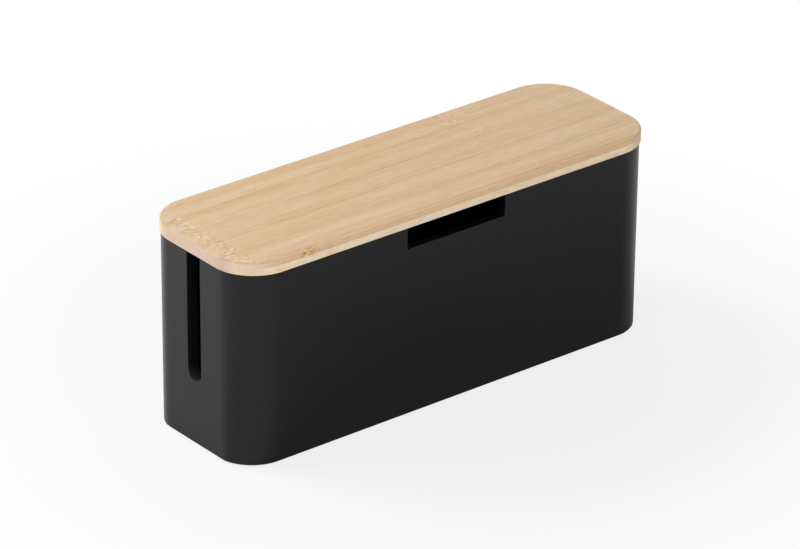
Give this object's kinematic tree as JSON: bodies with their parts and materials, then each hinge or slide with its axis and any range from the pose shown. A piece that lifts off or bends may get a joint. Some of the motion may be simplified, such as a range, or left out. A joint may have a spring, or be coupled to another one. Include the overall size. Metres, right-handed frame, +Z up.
{
  "type": "cable management box",
  "caption": "Slim box that hides a power strip and its leads, with cable slots in both ends, a notch in the front rim and a lift-off bamboo lid on a black plastic tub.",
  "frame": {"origin": "centre of the footprint, in the plane that the feet stand on", "axes": "+X along the box towards its right end, +Y towards the back, away from the notch, +Z up"},
  "size_m": [0.32, 0.1024, 0.1355],
  "materials": {
    "tub_plastic": "satin black moulded plastic",
    "bamboo_upper": "sanded natural bamboo",
    "bamboo_dark": "sanded darker bamboo",
    "bamboo_lower": "sanded pale bamboo",
    "foot_rubber": "matt black rubber"
  },
  "bodies": {
    "box": {"box_body": "tub_plastic", "foot_front_left": "foot_rubber", "foot_front_right": "foot_rubber", "foot_back_left": "foot_rubber", "foot_back_right": "foot_rubber"},
    "lid": {"lid_upper_stave_1": "bamboo_upper", "lid_upper_stave_2": "bamboo_upper", "lid_upper_stave_3": "bamboo_upper", "lid_upper_stave_4": "bamboo_upper", "lid_upper_stave_5": "bamboo_upper", "lid_upper_stave_6": "bamboo_dark", "lid_lower_stave_1": "bamboo_lower", "lid_lower_stave_2": "bamboo_lower", "lid_lower_stave_3": "bamboo_lower", "lid_lower_stave_4": "bamboo_lower", "lid_lower_stave_5": "bamboo_lower", "lid_batten_left": "bamboo_lower", "lid_batten_right": "bamboo_lower"}
  },
  "joints": [
    {"name": "lid_lift", "type": "slide", "parent": "box", "child": "lid", "axis": [0, 0, 1], "range_m": [0, 0.12]}
  ]
}
